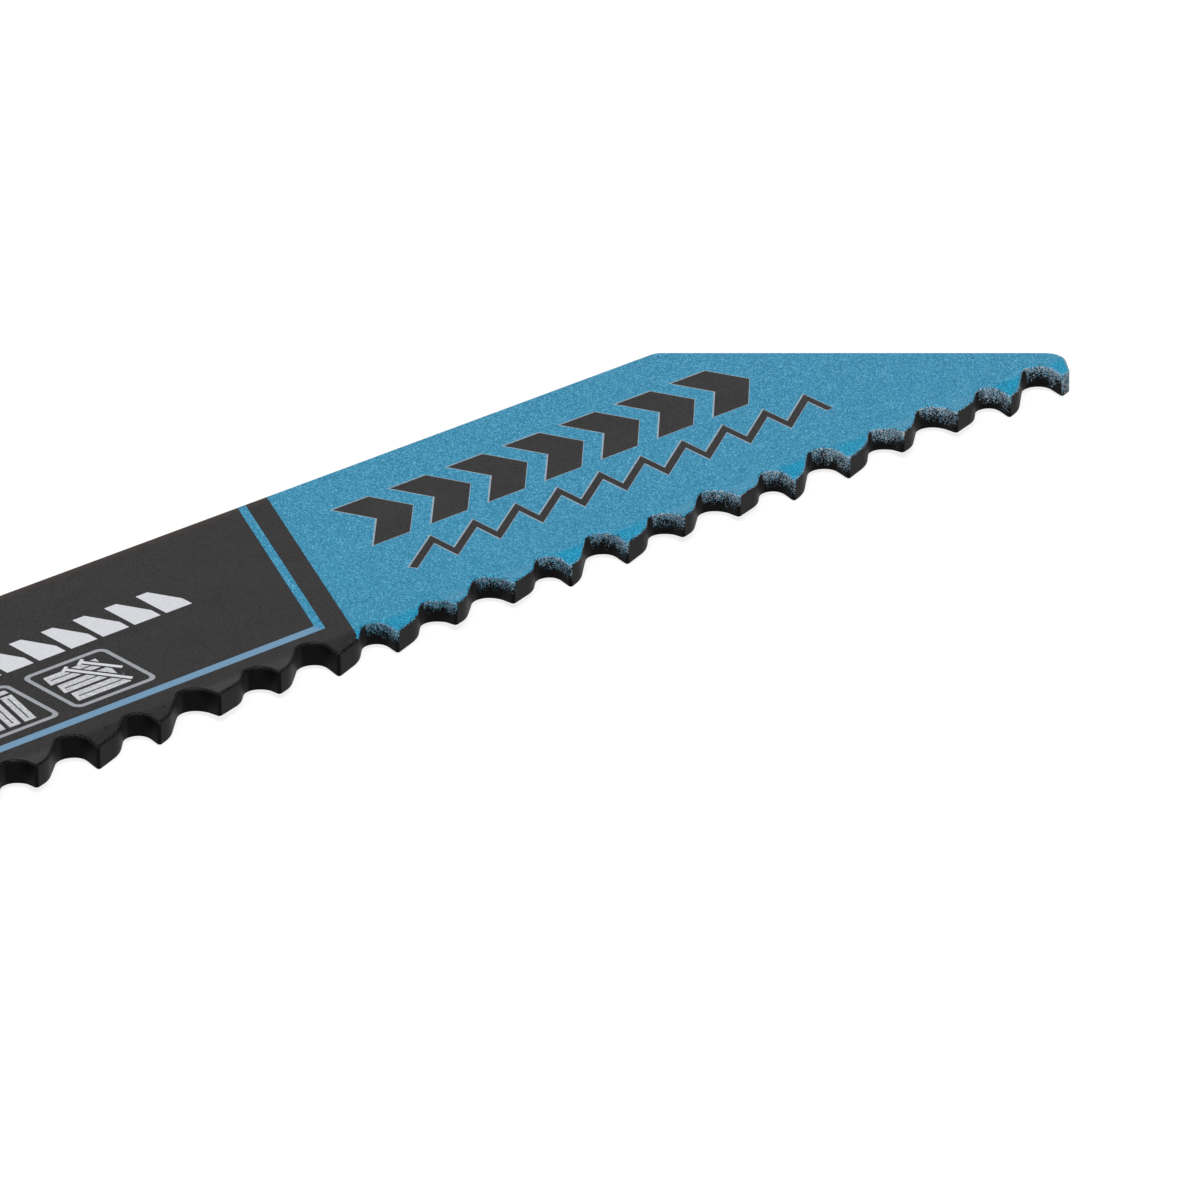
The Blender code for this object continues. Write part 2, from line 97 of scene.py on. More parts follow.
# Heel and tang
HEEL_LENGTH = 7.0
HEEL_RISE = 0.5
TANG_LENGTH = 20.0
TANG_WIDTH = 12.7
TANG_DROP = 2.2
TANG_CHAMFER = 2.6
TANG_CORNER_RADIUS = 0.6
HOLE_DIAMETER = 4.2
HOLE_FROM_END = 8.4
HOLE_STEPS = 64
SHOULDER_ANGLE = math.radians(45.0)
SHOULDER_FILLET = 2.0
SHOULDER_ROUND = 1.5
CORNER_STEPS = 10
FILLET_SHARE = 0.98  # the most of a side that one rounded corner may take
ON_LINE = 0.01  # how near to the field's edge or a bend level a point of the outline counts as on it

# Places that follow from the sizes
TANG_END_X = -LENGTH / 2
NOSE_END_X = LENGTH / 2
BACK_Y = WIDTH / 2
TIP_Y = -WIDTH / 2
NOSE_TIP_X = NOSE_END_X - NOSE_REACH
SLANT_START_X = NOSE_END_X - WIDTH / math.tan(SLANT_ANGLE)  # the slant starts no nearer to the tang
BOTTOM_Z = -min(SET_CYCLE)
TOP_Z = BOTTOM_Z + THICKNESS
TOP_SIDE = Side(z=TOP_Z, up=1.0, depth=0.0)
UNDERSIDE = Side(z=BOTTOM_Z, up=-1.0, depth=THICKNESS)
BEND_HEIGHT = SHALLOW_GULLET.depth - BEND_BELOW_GULLET
BEND_Y = TIP_Y + BEND_HEIGHT
BEND_LEVELS = (BEND_Y + BEND_SOFTNESS, BEND_Y, BEND_Y - BEND_SOFTNESS)
TOOTHED_BELOW_Y = TIP_Y + DEEP_GULLET.depth + RIM_CLEARANCE
SHOULDER_START_X = TANG_END_X + TANG_LENGTH
TANG_TOP_Y = BACK_Y - TANG_DROP
TANG_BOTTOM_Y = TANG_TOP_Y - TANG_WIDTH
HEEL_Y = TIP_Y + HEEL_RISE
HEEL_START_X = SHOULDER_START_X + (TANG_BOTTOM_Y - HEEL_Y) / math.tan(SHOULDER_ANGLE)

# Blue field, stripe and thin line, in millimetres
PRINT_LEAN = 0.443  # how far an edge moves along the blade for each millimetre towards the back
FIELD_X = 64.30  # where the blue field starts at the back edge
STRIPE_LEFT_X = 62.02
STRIPE_RIGHT_X = 62.63
STRIPE_TOP_Y = BACK_Y - 0.2  # just short of the rim
LINE_TOP_Y = -6.0
LINE_BOTTOM_Y = -6.64
LINE_END_X = -84.0
LINE_END_LEAN = 0.3
LINE_BLUE_X = 56.6  # where the line leaves the stripe with its full colour
LINE_PALE_X = 54.0
EDGE_HIGHLIGHT_REACH = 0.9  # how far in from the back edge the coat is browner and lighter, a painted highlight

# Rows of marks
BOLD_ROW = Row(left=64.78, bottom=0.03, height=5.38, count=7, pitch=4.55)
BOLD_ARM = 2.85
BOLD_POINT = 1.9
BOLD_SLANT = 1.26
THIN_ROW = Row(left=64.6, bottom=-3.86, height=2.2, count=10, pitch=3.36)
THIN_STROKE = 0.5
# The halo round each bare mark is a painted highlight on the ink's edge, shifted towards the light
HALO = 0.07
HALO_HIGHLIGHT_SHIFT = Vector((-0.02, 0.025))
WHITE_ROW = Row(left=30.7, bottom=1.12, height=2.9, count=9, pitch=2.38)
WHITE_FOOT = 1.95
WHITE_TOP = 0.9
WHITE_SIDE = 0.9

# Two boxed pictures: standing boards with a rail, and lying boards with two nails
BOXES = ((30.78, 36.88), (37.98, 44.08))  # left and right
BOX_BOTTOM, BOX_TOP = -5.22, 0.08
BOX_LINE = 0.3
BOX_RADIUS = 0.55
BOX_INNER_RADIUS = 0.35
BOX_STEPS = 5
LYING_BOARDS = Row(left=38.7, bottom=BOX_BOTTOM + 0.75, height=1.05, count=3, pitch=1.3)
LYING_RIGHT = 42.6
LYING_LEAN = 0.25
LYING_GRAIN = (39.1, 42.3, 0.45, 0.56)  # left and right, and how far up its board it starts and ends
NAILS = (((40.6, -0.75), (42.9, -4.2)), ((41.9, -0.6), (43.35, -2.7)))  # head and point
NAIL_WIDTH = 0.3
NAIL_GAP = 0.62  # width of the bare gap in the boards round a nail
NAIL_GAP_ABOVE = 0.12
NAIL_GAP_BELOW = 0.15
NAIL_HEAD_REACH = 0.38
NAIL_HEAD_WIDTH = 0.22
STANDING_BOARDS = Row(left=31.35, bottom=BOX_BOTTOM + 0.7, height=3.3, count=4, pitch=1.12)
STANDING_WIDTH = 0.82
STANDING_LEAN = 0.75
STANDING_GRAIN = (0.42, 0.52, 0.3, 0.62)  # left and right on its board, gap at each end, and lean
RAIL = (31.9, 36.3, BOX_TOP - 1.05, BOX_TOP - 0.62)  # left, right, bottom and top

# Paints, each with its own material
(
    COAT, BLUE, WHITE, THIN_WHITE, HALO_HIGHLIGHT, SPRAYED, WALL, HIGHLIT_WORN_COAT, HIGHLIT_WORN_BLUE, LINE_BLUE,
    TOOTH_RIM, PICTURE,
) = range(12)

# Colours, as linear red, green and blue
COAT_COLOR = (0.0215, 0.0180, 0.0190)
COAT_WARM = (0.0240, 0.0198, 0.0198)
COAT_DARK = (0.003, 0.003, 0.003)
# browner, lighter coat by the back edge: a painted highlight
COAT_EDGE_HIGHLIGHT = (0.036, 0.024, 0.020)
# paler coat on the rims: partly wear, partly a painted highlight
COAT_WORN_AND_HIGHLIT = (0.085, 0.062, 0.056)
# Cut walls: a near-black base that holds painted shade, and a lighter colour that is a painted
# highlight
WALL_COLOR_AND_SHADE = (0.004, 0.0035, 0.0035)
WALL_PAINTED_LIGHT = (0.030, 0.027, 0.028)
BLUE_DEEP = (0.0, 0.160, 0.300)
BLUE_PALE = (0.026, 0.285, 0.476)
BLUE_SPECK = (0.112, 0.430, 0.640)
SHEENLESS_PALE = (0.0, 0.300, 0.510)  # on the teeth that are bent down: painted reflection, bluer as if they caught less of the grey sheen
SHEENLESS_SPECK = (0.030, 0.440, 0.690)
# paler blue on the rims: partly wear, partly a painted highlight
BLUE_WORN_AND_HIGHLIT = (0.24, 0.37, 0.45)
LINE_COLOR = (0.156, 0.299, 0.450)
MIST_COLOR = (0.74, 0.83, 0.90)
WHITE_COLOR = (0.69, 0.705, 0.74)
THIN_COLOR = (0.36, 0.38, 0.41)
PICTURE_COLOR = (0.66, 0.67, 0.70)
# colour of the halo: a painted highlight on the ink's edges
HALO_HIGHLIGHT_COLOR = (0.36, 0.46, 0.54)
FLOOR_COLOR = (FLOOR_GREY, FLOOR_GREY, FLOOR_GREY)
LIGHT_COLOR = (1.0, 1.0, 1.0)

# Grain and gloss
FINE_GRAIN = 11.5  # cells for each millimetre
SPECK_GRAIN = 12.5
PRINT_GRAIN = 6.0
COAT_GLOSS = 0.32
TOOTH_RIM_GLOSS = 0.1
CUT_ROUGHNESS = 0.55
CUT_GLOSS = 0.08
WEAR_AND_HIGHLIGHT_SPREAD = 0.4

# Directions that surfaces face, and the paint on the tooth walls in the blue field
OUTWARDS = (0.0, -1.0, 0.0)  # from the back edge to the teeth
# walls that face this way get the painted highlight
PAINTED_LIGHT_SIDE = (0.45, -0.9, 0.0)
SPRAY_SIDE = (-0.75, -0.66, 0.0)  # walls that face this way caught most of the spray
SPRAY_REACH = (0.18, 1.1)  # down a wall that faces another way, and down one that faces this way
NOSE_SPRAY_REACH = 2.6
NOSE_SPRAY_X = (NOSE_TIP_X - 0.05, NOSE_TIP_X + 0.1)  # where the wall of the nose starts
MIST_THIN_X, MIST_FULL_X = 60.0, 96.0  # where the mist on the walls is thinnest and full
MIST_THIN = 0.78  # share of its reach where it is thinnest
MIST_DIM = 0.5  # share of its paleness there
MIST_START = 0.14  # how far down the wall it has its full paleness


# Plane geometry


def heading(angle):
    return Vector((math.cos(angle), math.sin(angle)))


def cross(a, b):
    return a.x * b.y - a.y * b.x


def crossing(point_a, direction_a, point_b, direction_b):
    along = cross(point_b - point_a, direction_b) / cross(direction_a, direction_b)
    return point_a + along * direction_a


def tangent_heading(point, centre, radius):
    towards = centre - point
    return math.atan2(towards.y, towards.x) + math.asin(radius / towards.length)


def rounded(corner, before, after, radius, steps):
    """Arc that rounds one corner, as points with their outward normals."""
    to_before = (before - corner).normalized()
    to_after = (after - corner).normalized()
    half_angle = to_before.angle(to_after) / 2
    shorter_side = min((before - corner).length, (after - corner).length)
    setback = min(radius / math.tan(half_angle), FILLET_SHARE * shorter_side)
    fitted_radius = setback * math.tan(half_angle)
    centre = corner + (to_before + to_after).normalized() * (fitted_radius / math.sin(half_angle))
    start = corner + to_before * setback - centre
    end = corner + to_after * setback - centre
    sweep = math.atan2(cross(start, end), start.dot(end))
    first_angle = math.atan2(start.y, start.x)
    side = 1.0 if sweep > 0.0 else -1.0
    arc = []
    for step in range(steps + 1):
        outward = heading(first_angle + sweep * step / steps)
        arc.append((centre + fitted_radius * outward, side * outward))
    return arc


# Outline of the blade


def gullet_size(steps_from_nose):
    is_deep = GULLET_PATTERN[steps_from_nose % len(GULLET_PATTERN)] == "D"
    return DEEP_GULLET if is_deep else SHALLOW_GULLET


def gullet_centre(tip_x, gullet):
    radius = gullet.radius
    rake_height = (gullet.depth - radius - radius * math.sin(RAKE_ANGLE)) / math.cos(RAKE_ANGLE)
    return Vector((
        tip_x + rake_height * math.sin(RAKE_ANGLE) - radius * math.cos(RAKE_ANGLE),
        TIP_Y + gullet.depth - radius,
    ))


def tooth_positions():
    room = NOSE_TIP_X - (HEEL_START_X + HEEL_LENGTH + PITCH)
    count = int(room / PITCH) + 1
    return [NOSE_TIP_X - PITCH * (count - 1 - index) for index in range(count)]


TIPS = tooth_positions()
GULLETS = [gullet_size(len(TIPS) - 1 - index) for index in range(len(TIPS))]
GULLET_XS = [gullet_centre(tip_x, gullet).x for tip_x, gullet in zip(TIPS, GULLETS)]


def toothed_edge():
    rake = heading(math.pi / 2 - RAKE_ANGLE)
    corners = []
    for index, (tip_x, gullet) in enumerate(zip(TIPS, GULLETS)):
        centre = gullet_centre(tip_x, gullet)
        foot_x = centre.x - gullet.radius - gullet.slope_run
        if index == 0:
            foot = Vector((foot_x, HEEL_Y))
        else:
            foot = Vector((foot_x, TIP_Y + (foot_x - TIPS[index - 1]) * math.tan(RELIEF_ANGLE)))
        slope = heading(tangent_heading(foot, centre, gullet.radius))
        tip = Vector((tip_x, TIP_Y))
        corners.append((foot, RELIEF_BLEND, BLEND_STEPS))
        corners.append((crossing(foot, slope, tip, rake), gullet.radius, GULLET_STEPS))
        corners.append((tip, TIP_RADIUS, TIP_STEPS))
    return corners


def nose_corners():
    land_end = Vector((NOSE_TIP_X, TIP_Y)) + NOSE_LAND * heading(RELIEF_ANGLE)
    face = heading(NOSE_FACE_ANGLE)
    face_normal = Vector((face.y, -face.x))
    centre_x = NOSE_END_X - NOSE_RADIUS
    centre_rise = (NOSE_RADIUS + (centre_x - land_end.x) * face_normal.x) / -face_normal.y
    centre = Vector((centre_x, land_end.y + centre_rise))
    slant = heading(math.pi - SLANT_ANGLE)
    slant_point = centre + NOSE_RADIUS * heading(math.pi / 2 - SLANT_ANGLE)
    end_corner = crossing(land_end, face, slant_point, slant)
    back_corner = crossing(slant_point, slant, Vector((0.0, BACK_Y)), Vector((1.0, 0.0)))
    return [
        (land_end, NOSE_LAND_RADIUS, BLEND_STEPS),
        (end_corner, NOSE_RADIUS, NOSE_STEPS),
        (back_corner, BACK_CORNER_RADIUS, CORNER_STEPS),
    ]


def tang_corners():
    back_run = TANG_DROP / math.tan(SHOULDER_ANGLE)
    chamfer_x = TANG_END_X + TANG_CHAMFER
    places = [
        ((SHOULDER_START_X + back_run, BACK_Y), SHOULDER_ROUND),
        ((SHOULDER_START_X, TANG_TOP_Y), SHOULDER_FILLET),
        ((chamfer_x, TANG_TOP_Y), TANG_CORNER_RADIUS),
        ((TANG_END_X, TANG_TOP_Y - TANG_CHAMFER), TANG_CORNER_RADIUS),
        ((TANG_END_X, TANG_BOTTOM_Y + TANG_CHAMFER), TANG_CORNER_RADIUS),
        ((chamfer_x, TANG_BOTTOM_Y), TANG_CORNER_RADIUS),
        ((SHOULDER_START_X, TANG_BOTTOM_Y), SHOULDER_FILLET),
        ((HEEL_START_X, HEEL_Y), SHOULDER_ROUND),
    ]
    return [(Vector(place), radius, CORNER_STEPS) for place, radius in places]


def leaning_x(back_x, y):
    """X of a leaning print edge at a height across the blade."""
    return back_x + (y - BACK_Y) * PRINT_LEAN


def past_stripe_side(back_x):
    """Function for how far a point is past one side of the stripe, on the back edge only."""
    return lambda point: point.x - leaning_x(back_x, point.y) if point.y > 0 else 1.0


def split_where(loop, value):
    """The loop with a point added wherever the value, taken at the top side's rim, changes sign."""
    least_product = 1e-9  # below it, one of the two points is already on the line
    result = []
    for index, here in enumerate(loop):
        after = loop[(index + 1) % len(loop)]
        result.append(here)
        value_here, value_after = (
            value(point - normal * radius) for point, normal, radius in (here, after)
        )
        if value_here * value_after < -least_product:
            share = value_here / (value_here - value_after)
            result.append(tuple(a + (b - a) * share for a, b in zip(here, after)))
    return result


def rim_radius(point):
    is_toothed = TIPS[0] - PITCH < point.x < NOSE_TIP_X + NOSE_LAND
    return TOOTH_RIM_RADIUS if is_toothed and point.y < TOOTHED_BELOW_Y else RIM_RADIUS


def blade_loop():
    """Points round the blade, each with its outward normal and rim radius."""
    corners = toothed_edge() + nose_corners() + tang_corners()
    loop = []
    for index, (corner, radius, steps) in enumerate(corners):
        before = corners[index - 1][0]
        after = corners[(index + 1) % len(corners)][0]
        for point, normal in rounded(corner, before, after, radius, steps):
            loop.append((point, normal, rim_radius(point)))
    for level in BEND_LEVELS:
        loop = split_where(loop, lambda point: point.y - level)
    loop = split_where(loop, lambda point: point.x - leaning_x(FIELD_X, point.y))
    loop = split_where(loop, past_stripe_side(STRIPE_LEFT_X))
    return split_where(loop, past_stripe_side(STRIPE_RIGHT_X))


def hole_loop():
    """Points round the tang's hole, like those of the blade. Their normals point into the hole."""
    centre = Vector((TANG_END_X + HOLE_FROM_END, TANG_TOP_Y - TANG_WIDTH / 2))
    loop = []
    for step in range(HOLE_STEPS):
        outward = heading(-2 * math.pi * step / HOLE_STEPS)
        loop.append((centre + HOLE_DIAMETER / 2 * outward, -outward, RIM_RADIUS))
    return loop


def tooth_bend(x, y):
    """Height that the set adds at a point, and its slope across the blade."""
    if y >= BEND_Y + BEND_SOFTNESS or x < GULLET_XS[0]:
        return 0.0, 0.0
    index = sum(1 for gullet_x in GULLET_XS if gullet_x < x) - 1
    bend = SET_CYCLE[(len(TIPS) - 1 - index) % len(SET_CYCLE)] / BEND_HEIGHT
    below = BEND_Y - y
    if below > BEND_SOFTNESS:
        return bend * below, -bend
    soft = below + BEND_SOFTNESS
    return bend * soft * soft / (4 * BEND_SOFTNESS), -bend * soft / (2 * BEND_SOFTNESS)


# Print shapes


def polygon(*corners):
    return [Vector(corner) for corner in corners]


def quad(left, right, bottom, top, slant=0.0):
    """Four-sided mark whose upper end is moved along the blade by the slant."""
    return polygon((left, bottom), (right, bottom), (right + slant, top), (left + slant, top))


def chevron(left):
    """Bare arrow of the bold row, from its lower left corner."""
    bottom, top = BOLD_ROW.bottom, BOLD_ROW.bottom + BOLD_ROW.height
    middle = bottom + BOLD_ROW.height / 2
    return polygon(
        (left, bottom),
        (left + BOLD_ARM, bottom),
        (left + BOLD_ARM + BOLD_POINT + BOLD_SLANT / 2, middle),
        (left + BOLD_ARM + BOLD_SLANT, top),
        (left + BOLD_SLANT, top),
        (left + BOLD_POINT + BOLD_SLANT / 2, middle),
    )


def tooth_block(left):
    """Block of the white row, shaped like a saw tooth."""
    bottom, top = WHITE_ROW.bottom, WHITE_ROW.bottom + WHITE_ROW.height
    return polygon(
        (left, bottom),
        (left + WHITE_FOOT, bottom),
        (left + WHITE_FOOT, bottom + WHITE_SIDE),
        (left + WHITE_TOP, top),
        (left, top),
    )


def stroke(points, width):
    """Line of one width through the points, with pointed corners."""
    left, right = [], []
    for index, point in enumerate(points):
        before = (point - points[index - 1]).normalized() if index else None
        after = (points[index + 1] - point).normalized() if index + 1 < len(points) else None
        sides = [Vector((-along.y, along.x)) for along in (before, after) if along]
        offset = (sides[0] + sides[-1]) * width / 2 / (1 + sides[0].dot(sides[-1]))
        left.append(point + offset)
        right.append(point - offset)
    return right + left[::-1]


def rounded_box(left, right, bottom, top, radius):
    corners = quad(left, right, bottom, top)
    points = []
    for index, corner in enumerate(corners):
        arc = rounded(corner, corners[index - 1], corners[(index + 1) % 4], radius, BOX_STEPS)
        points.extend(point for point, _ in arc)
    return points


def grown(corners, amount, shift):
    """The polygon with each side moved outwards, and the whole then shifted."""
    points = []
    for index, corner in enumerate(corners):
        before = (corner - corners[index - 1]).normalized()
        after = (corners[(index + 1) % len(corners)] - corner).normalized()
        out_before = Vector((before.y, -before.x))
        out_after = Vector((after.y, -after.x))
        offset = (out_before + out_after) * amount / (1 + out_before.dot(out_after))
        points.append(corner + offset + shift)
    return points


def along_row(row):
    """Left ends of the marks in a row."""
    return [row.left + row.pitch * index for index in range(row.count)]


def line_and_stripe():
    """The thin line along the teeth, and the stripe that rises from its end."""
    outer_foot = (leaning_x(STRIPE_RIGHT_X, LINE_BOTTOM_Y), LINE_BOTTOM_Y)
    inner_foot = (leaning_x(STRIPE_LEFT_X, LINE_TOP_Y), LINE_TOP_Y)
    line = polygon(
        (LINE_END_X - LINE_END_LEAN, LINE_BOTTOM_Y),
        outer_foot,
        inner_foot,
        (LINE_END_X, LINE_TOP_Y),
    )
    stripe = polygon(
        inner_foot,
        outer_foot,
        (leaning_x(STRIPE_RIGHT_X, STRIPE_TOP_Y), STRIPE_TOP_Y),
        (leaning_x(STRIPE_LEFT_X, STRIPE_TOP_Y), STRIPE_TOP_Y),
    )
    return [(LINE_BLUE, line), (BLUE, stripe)]


def field_marks():
    """Two rows of bare marks in the blue field, arrows and a saw-tooth line, each with its halo, a
    painted highlight on the ink's edge.
    """
    bottom, top = THIN_ROW.bottom, THIN_ROW.bottom + THIN_ROW.height
    saw = polygon((THIN_ROW.left, bottom))
    for left in along_row(THIN_ROW):
        saw += polygon((left + THIN_ROW.pitch, top), (left + THIN_ROW.pitch, bottom))
    shapes = []
    for mark in [chevron(left) for left in along_row(BOLD_ROW)] + [stroke(saw, THIN_STROKE)]:
        shapes.append((HALO_HIGHLIGHT, grown(mark, HALO, HALO_HIGHLIGHT_SHIFT)))
        shapes.append((COAT, mark))
    return shapes


def picture_frames():
    shapes = []
    for left, right in BOXES:
        shapes.append((THIN_WHITE, rounded_box(left, right, BOX_BOTTOM, BOX_TOP, BOX_RADIUS)))
        shapes.append((COAT, rounded_box(
            left + BOX_LINE, right - BOX_LINE, BOX_BOTTOM + BOX_LINE, BOX_TOP - BOX_LINE,
            BOX_INNER_RADIUS,
        )))
    return shapes


def lying_boards():
    """Lying boards, each with a line of grain."""
    grain_left, grain_right, grain_bottom, grain_top = LYING_GRAIN
    shapes = []
    for index in range(LYING_BOARDS.count):
        rise = LYING_BOARDS.bottom + LYING_BOARDS.pitch * index
        board = quad(
            LYING_BOARDS.left, LYING_RIGHT, rise, rise + LYING_BOARDS.height, LYING_LEAN
        )
        shapes.append((PICTURE, board))
        shapes.append((COAT, quad(grain_left, grain_right, rise + grain_bottom, rise + grain_top)))
    return shapes


def nails():
    """Slanted nails over the lying boards, each in a bare gap."""
    shapes = []
    for head, point in NAILS:
        start, end = Vector(head), Vector(point)
        along = (end - start).normalized()
        reach = Vector((-along.y, along.x)) * NAIL_HEAD_REACH
        gap = [start - along * NAIL_GAP_ABOVE, end + along * NAIL_GAP_BELOW]
        shapes.append((COAT, stroke(gap, NAIL_GAP)))
        shapes.append((WHITE, stroke([start, end], NAIL_WIDTH)))
        shapes.append((WHITE, stroke([start - reach, start + reach], NAIL_HEAD_WIDTH)))
    return shapes


def standing_boards():
    """Standing boards, each with a line of grain, and the rail across their upper ends."""
    bottom, top = STANDING_BOARDS.bottom, STANDING_BOARDS.bottom + STANDING_BOARDS.height
    grain_left, grain_right, gap, grain_lean = STANDING_GRAIN
    shapes = []
    for left in along_row(STANDING_BOARDS):
        shapes.append((PICTURE, quad(left, left + STANDING_WIDTH, bottom, top, STANDING_LEAN)))
        shapes.append((COAT, quad(
            left + grain_left, left + grain_right, bottom + gap, top - gap, grain_lean
        )))
    shapes.append((PICTURE, quad(*RAIL)))
    return shapes


def printed_shapes():
    """Every printed polygon with its paint and bounds. Later ones cover earlier ones."""
    white_row = [(WHITE, tooth_block(left)) for left in along_row(WHITE_ROW)]
    shapes = []
    for paint, corners in (
        line_and_stripe() + field_marks() + white_row + picture_frames()
        + lying_boards() + nails() + standing_boards()
    ):
        xs = [corner.x for corner in corners]
        ys = [corner.y for corner in corners]
        shapes.append(Shape(paint, corners, min(xs), max(xs), min(ys), max(ys)))
    return shapes


# Mesh


class BladeMesh:
    """Vertices, normals, depths and faces of the fine blade, in millimetres."""

    def __init__(self):
        self.places = []
        self.normals = []
        self.depths = []
        self.faces = []
        self.paints = []

    def vertex(self, x, y, z, normal, depth):
        bend, slope = tooth_bend(x, y)
        along, across, up = normal
        self.places.append(Vector((x, y, z + bend)))
        self.normals.append(Vector((along, across - slope * up, up)).normalized())
        self.depths.append(depth)
        return len(self.places) - 1

    def face(self, corners, paint):
        self.faces.append(corners)
        self.paints.append(paint)


def is_in_field(point):
    return point.x > leaning_x(FIELD_X, point.y)


def is_in_stripe(point):
    """Whether a point of the outline lies between the stripe's sides, on the back edge."""
    is_between = leaning_x(STRIPE_LEFT_X, point.y) < point.x < leaning_x(STRIPE_RIGHT_X, point.y)
    return is_between and point.y > 0


def rim_profile(radius):
    """Inset, drop and tilt of the normal of each ring down the wall, from the top to the bottom."""
    rings = []
    for step in range(RIM_STEPS + 1):
        angle = math.pi / 2 * step / RIM_STEPS
        rings.append((radius * (1 - math.sin(angle)), radius * (1 - math.cos(angle)), angle))
    lower_radius = min(radius, LOWER_RIM_RADIUS)
    for step in range(RIM_STEPS + 1):
        angle = math.pi / 2 * (1 + step / RIM_STEPS)
        rings.append((
            lower_radius * (1 - math.sin(angle)),
            THICKNESS - lower_radius * (1 + math.cos(angle)),
            angle,
        ))
    return rings


def wall_paint(point, radius, level):
    """Paint of the wall beside a point of the outline, on one of its levels."""
    is_top_rim = level < RIM_STEPS
    is_plain_edge = radius == RIM_RADIUS
    if is_in_field(point):
        return HIGHLIT_WORN_BLUE if is_top_rim and is_plain_edge else SPRAYED
    if is_in_stripe(point) and is_top_rim:
        return BLUE
    if is_top_rim:
        return HIGHLIT_WORN_COAT if is_plain_edge else TOOTH_RIM
    return WALL


def add_wall(mesh, loop):
    """Adds rings of vertices round a loop, and returns the top ring and the bottom ring."""
    rings = [[] for _ in range(2 * (RIM_STEPS + 1))]
    for point, normal, radius in loop:
        for ring, (inset, drop, angle) in zip(rings, rim_profile(radius)):
            place = point - normal * inset
            out = math.sin(angle)
            ring.append(mesh.vertex(
                place.x, place.y, TOP_Z - drop,
                (normal.x * out, normal.y * out, math.cos(angle)), drop,
            ))
    for level, (upper, lower) in enumerate(zip(rings, rings[1:])):
        for index, (point, _, radius) in enumerate(loop):
            following = (index + 1) % len(loop)
            middle = (point + loop[following][0]) / 2
            mesh.face(
                (upper[index], lower[index], lower[following], upper[following]),
                wall_paint(middle, radius, level),
            )
    return rings[0], rings[-1]


def level_edges(mesh, ring, level):
    """Support edges across each tooth, but not the heel, between the ring's points at a level."""
    marks = []
    for index, number in enumerate(ring):
        following = (index + 1) % len(ring)
        here = mesh.places[number].y - level
        after = mesh.places[ring[following]].y - level
        if (here < 0) != (after < 0) and min(abs(here), abs(after)) < ON_LINE:
            marks.append(index if abs(here) < abs(after) else following)
    marks.sort(key=lambda index: mesh.places[ring[index]].x)
    if len(marks) % 2:  # on the underside a set tooth can miss the level, so no pairs can be made
        return []
    return [
        (left, right) for left, right in zip(marks[::2], marks[1::2])
        if mesh.places[ring[right]].x - mesh.places[ring[left]].x < 2 * PITCH
    ]


def field_edge(ring_points):
    """Edge along the start of the blue field, between the places where the ring was split for it."""
    ends = [
        index for index, point in enumerate(ring_points)
        if abs(point.x - leaning_x(FIELD_X, point.y)) < ON_LINE
    ]
    ends.sort(key=lambda index: ring_points[index].y)
    return ends[0], ends[-1]


def closed_edges(first, count):
    """Closed chain of edges through a run of points."""
    return [(first + index, first + (index + 1) % count) for index in range(count)]


def is_inside(point, corners):
    inside = False
    for index, here in enumerate(corners):
        before = corners[index - 1]
        if (here.y > point.y) != (before.y > point.y):
            share = (point.y - here.y) / (before.y - here.y)
            if point.x < here.x + share * (before.x - here.x):
                inside = not inside
    return inside


def is_on_blade(point, outline, bore):
    """Whether a point lies on the metal. Only those near an edge need the slow test."""
    is_near_teeth = point.y < TOOTHED_BELOW_Y
    is_near_back = point.y > BACK_Y - RIM_CLEARANCE
    is_near_end = not HEEL_START_X < point.x < SLANT_START_X
    if (is_near_teeth or is_near_back or is_near_end) and not is_inside(point, outline):
        return False
    return point.x > SHOULDER_START_X or not is_inside(point, bore)


def paint_at(point, shapes):
    """Paint of the last printed shape over a point, or the field's or the coat's."""
    paint = BLUE if shapes and is_in_field(point) else COAT
    for shape in shapes:
        is_near = shape.left < point.x < shape.right and shape.bottom < point.y < shape.top
        if is_near and is_inside(point, shape.corners):
            paint = shape.paint
    return paint


def add_cap(mesh, ring, hole, side, shapes):
    """Fills one flat side between the outer ring and the hole, cut along every printed shape."""
    inside_only = 1
    merge_distance = 1e-5
    rim = ring + hole
    points = [mesh.places[number].xy for number in rim]
    outline, bore = points[:len(ring)], points[len(ring):]
    edges = closed_edges(0, len(ring)) + closed_edges(len(ring), len(hole))
    for level in BEND_LEVELS:
        edges += level_edges(mesh, ring, level)
    if shapes:
        edges.append(field_edge(outline))
    for shape in shapes:
        edges += closed_edges(len(points), len(shape.corners))
        points += shape.corners
    places, _, triangles, origins, _, _ = delaunay_2d_cdt(
        points, edges, [], inside_only, merge_distance, True
    )
    numbers = []
    for place, sources in zip(places, origins):
        shared = [rim[source] for source in sources if source < len(rim)]
        numbers.append(shared[0] if shared else mesh.vertex(
            place.x, place.y, side.z, (0.0, 0.0, side.up), side.depth
        ))
    for corners in triangles:
        middle = sum((places[index] for index in corners), Vector((0.0, 0.0))) / len(corners)
        if is_on_blade(middle, outline, bore):
            order = corners if side.up > 0 else reversed(corners)
            mesh.face(tuple(numbers[index] for index in order), paint_at(middle, shapes))


